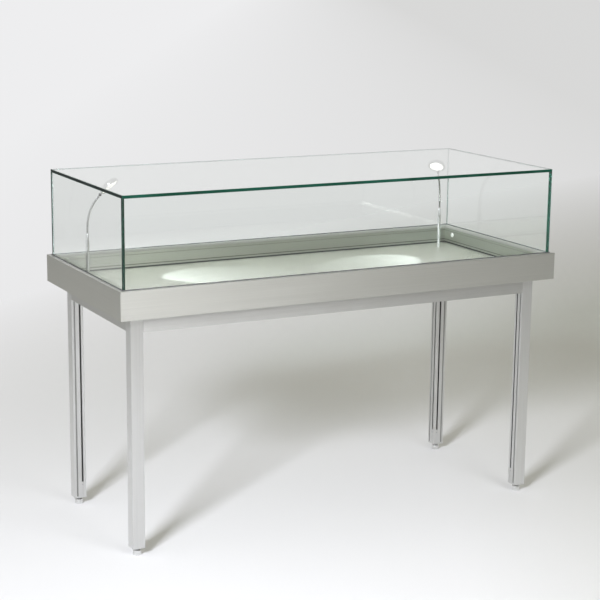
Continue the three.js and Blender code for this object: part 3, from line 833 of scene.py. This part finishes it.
def add_feet():
    """The levelling feet, modelled once: a turned drum on its stud, and the lock nut above it."""
    low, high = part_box("levelling_foot_front_left")
    radius, stud = (high.x - low.x) / 2, STUD_RADIUS
    profile = [
        (radius - 0.0012, 0.0),
        (radius - 0.0003, 0.0004),
        (radius, 0.0013),
        (radius, DRUM_HEIGHT - 0.0014),
        (radius - 0.0003, DRUM_HEIGHT - 0.0005),
        (radius - 0.0012, DRUM_HEIGHT),
        (stud, DRUM_HEIGHT),
        (stud, high.z - 0.001),
        (stud - 0.0008, high.z),
    ]
    drum = turned("drum_pattern", profile)
    paint(drum, foot_metal)
    nut = turned("nut_pattern", [(0.0060, 0.0154), (0.0068, 0.0158), (0.0068, 0.0202), (0.0060, 0.0206)], 6)
    paint(nut, steel)
    for corner in CORNERS:
        low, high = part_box("levelling_foot_" + corner)
        place = Matrix.Translation(((low.x + high.x) / 2, (low.y + high.y) / 2, 0))
        foot = copied(drum, "foot_drum_" + corner, place)
        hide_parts("levelling_foot_" + corner)
        for piece in (foot, copied(nut, "foot_nut_" + corner, place)):
            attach(piece, "levelling_foot_" + corner)
    put_away(drum, nut)


def screw_head(radius, height):
    """A low round head with a driver socket."""
    profile = [
        (radius, 0),
        (radius, height * 0.6),
        (radius * 0.85, height),
        (radius * 0.45, height),
        (radius * 0.4, height * 0.3),
    ]
    head = turned("screw_pattern", profile, 24)
    paint(head, steel)
    return head


def add_screw(pattern, name, point, direction, body):
    head = copied(pattern, name, facing(point, direction))
    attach(head, body)


def add_insert_screws():
    """The set screws that pinch each insert in its leg, one in each of its tongues."""
    pattern = screw_head(*INSERT_SCREW)
    sunk = INSERT_SCREW[1]
    for corner, signs in CORNERS.items():
        low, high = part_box("leg_" + corner)
        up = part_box("foot_insert_" + corner)[1].z - INSERT_SCREW_DROP
        inner = [low[i] if signs[i] > 0 else high[i] for i in (0, 1)]
        outer = [high[i] if signs[i] > 0 else low[i] for i in (0, 1)]
        along = [outer[i] - signs[i] * INSERT_SLOT for i in (0, 1)]
        face = [inner[i] + signs[i] * sunk for i in (0, 1)]
        add_screw(pattern, "insert_screw_x_" + corner, (face[0], along[1], up), (-signs[0], 0, 0), "base")
        add_screw(pattern, "insert_screw_y_" + corner, (along[0], face[1], up), (0, -signs[1], 0), "base")
    put_away(pattern)


def add_hinge_screws():
    """Rows of screws through both leaves of the long hinge."""
    base_low, base_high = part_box("hinge_base_leaf")
    hood_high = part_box("hinge_hood_leaf")[1]
    pattern = screw_head(*HINGE_SCREW)
    for i in range(HINGE_SCREWS):
        x = base_low.x + (base_high.x - base_low.x) * (i + 0.5) / HINGE_SCREWS
        on_base = (x, base_low.y + HINGE_LEAF, base_high.z - 0.0045)
        on_hood = (x, hood_high.y - HINGE_LEAF, hood_high.z - 0.012)
        add_screw(pattern, "hinge_screw_base_%d" % i, on_base, (0, 1, 0), "base")
        add_screw(pattern, "hinge_screw_hood_%d" % i, on_hood, (0, -1, 0), "hood")
    put_away(pattern)


# ---- stage and light ----

def studio_paper(name):
    """Studio paper, lit by the lamps near the case and darkened towards the view's right by painted shade,
    running out into the pale background far off, which also darkens to the right with painted shade.
    """
    finish = Finish(name)
    grain = finish.noise((300, 300, 300), 2)
    finish.rough(grain, 0.85, 0.95)
    finish.set(Specular_IOR_Level=0.1)
    place = finish.place()
    reach = finish.length(place)
    across = finish.along(place, ACROSS)
    paper_tone = finish.mixed(finish.ranged(grain, 0, 1), (0.765, 0.765, 0.765), (0.785, 0.785, 0.785))
    # painted shade: the paper darkens towards the right of the view, where the studio light falls off
    finish.colour(finish.ranged(across, 0, 1, 0.45, 1.3), paper_tone, (0.66, 0.66, 0.64))
    # the far backdrop darkens towards the view's right: painted shade
    background = finish.mixed(finish.ranged(across, 0, 1, -2.6, 3.2), BACKDROP_PAINTED_SHADE["left"], BACKDROP_PAINTED_SHADE["right"])
    glow = finish.tinted("ShaderNodeEmission", background)
    beside = finish.tinted("ShaderNodeEmission", BESIDE)
    off_paper = finish.ranged(finish.maths("ABSOLUTE", across), 0, 1, 1.6, 3.4)
    mirrored = finish.maths("MULTIPLY", off_paper, finish.ray("Is Glossy Ray"))
    in_metal = finish.either(mirrored, finish.shader.outputs[0], beside)
    lit = finish.either(finish.seen(), in_metal, finish.shader.outputs[0])
    shift = finish.ranged(across, 3.12, -3.12, -2.4, 2.4)
    far = finish.ranged(finish.maths("ADD", reach, shift), 0, 1, 1.3, 5.0)
    finish.surface(finish.either(finish.maths("MULTIPLY", far, finish.seen()), lit, glow))
    return finish.made


def add_stage():
    deselect()
    bpy.ops.mesh.primitive_plane_add(size=FLOOR_SIZE, location=(0, 0, 0))
    floor = settle("floor")
    paint(floor, paper)


class Room(Finish):
    """The room round the case: even light, pale to the eye with painted shade towards the view's right,
    darker overhead where metal mirrors it.
    """

    def __init__(self):
        world = bpy.data.worlds.new("studio")
        bpy.context.scene.world = world
        world.use_nodes = True
        self.tree = world.node_tree
        ambient = self.tree.nodes["Background"]
        self.fill(ambient.inputs["Color"], AMBIENT)
        look = self.node("ShaderNodeTexCoord").outputs["Generated"]
        split = self.node("ShaderNodeSeparateXYZ")
        self.link(look, split.inputs[0])
        across = self.along(look, ACROSS)
        overhead = self.ranged(split.outputs["Z"], 0, 1, 0.24, 0.6)
        beside = self.ranged(self.maths("ABSOLUTE", across), 0, 1, 0.6, 0.92)
        mirror_tone = self.mixed(self.maths("MAXIMUM", overhead, beside), HORIZON, CEILING)
        mirrored = self.tinted("ShaderNodeBackground", mirror_tone)
        sideways = self.ranged(across, 0, 1, -0.15, 0.15)
        # the backdrop seen straight on darkens towards the view's right: painted shade
        backdrop_tone = self.mixed(sideways, BACKDROP_PAINTED_SHADE["left"], BACKDROP_PAINTED_SHADE["right"])
        backdrop = self.tinted("ShaderNodeBackground", backdrop_tone)
        lit = self.either(self.ray("Is Glossy Ray"), ambient.outputs[0], mirrored)
        whole = self.either(self.seen(), lit, backdrop)
        self.link(whole, self.tree.nodes["World Output"].inputs["Surface"])


def softbox(name, place, target, size, power, spread=180, tone=(1, 1, 1)):
    """A square studio lamp turned towards a target."""
    deselect()
    bpy.ops.object.light_add(type="AREA", location=place)
    lamp = bpy.context.object
    lamp.name = name
    lamp.data.shape = "RECTANGLE"
    lamp.data.size = size
    lamp.data.size_y = size
    lamp.data.energy = power
    lamp.data.spread = math.radians(spread)
    lamp.data.color = tone
    lamp.rotation_euler = (Vector(target) - Vector(place)).to_track_quat("-Z", "Y").to_euler()


bpy.context.scene.view_settings.view_transform = "Standard"

bright = polished("lamp_bright_metal", (0.66, 0.66, 0.655), 0.12)
# the lamp's chrome in copies: the stem's tube lighter as a painted reflection, the neck darker as painted
# shade
stem_metal_painted_reflection = polished("lamp_stem_metal_painted_reflection", (0.76, 0.765, 0.77), 0.12)
neck_metal_painted_shade = polished("lamp_neck_metal_painted_shade", (0.52, 0.525, 0.53), 0.09)
steel = plated("zinc_plate", (0.56, 0.565, 0.57), 0.3)
foot_metal = plated("foot_plate", (0.8, 0.8, 0.79), 0.22)
cap_metal = plated("pivot_cap_plate", (0.92, 0.92, 0.9), 0.5)
board = lacquered_board("deck_lacquer")
rubber = sponge_rubber("seal_rubber")
black = black_lacquer("strut_black")
sealing = sealing_compound("sealing_compound")
clear = clear_glass("hood_glass")
# glass edge tones: the glass's green with painted light and shade for the light that runs along the panes
green_edge_painted_light = glass_edge("glass_edge_green_painted_light", (0.005, 0.038, 0.022), (0.009, 0.062, 0.040), 0.2)
dark_edge_painted_shade = glass_edge("glass_edge_painted_dark", (0.004, 0.007, 0.007), (0.007, 0.012, 0.011), 0.3)
# the arris: the ground face's frost, with a painted highlight
arris = glass_edge("glass_arris_painted_highlight", (0.03, 0.085, 0.06), (0.05, 0.12, 0.09), 0.3)
far_edge_painted_light = glass_edge("glass_edge_far_painted_light", (0.10, 0.14, 0.125), (0.15, 0.19, 0.17), 0.25)
frosted = frosted_lens("lamp_frosted_lens")
paper = studio_paper("studio_paper")

add_camera()
dress_frame()
for side in SIDES + ("top",):
    add_pane(side)
for side in SIDES:
    add_seal(side)
add_lamps()
add_feet()
add_insert_screws()
add_hinge_screws()
add_stage()
Room()
softbox("key", (-3.6, -3.05, 2.7), (0.3, 0.3, 0.3), size=1.0, power=115, spread=110, tone=(0.96, 0.98, 1.08))
softbox("front", (0.55, -3.6, 2.4), (0, 0, 0.6), size=1.6, power=35)
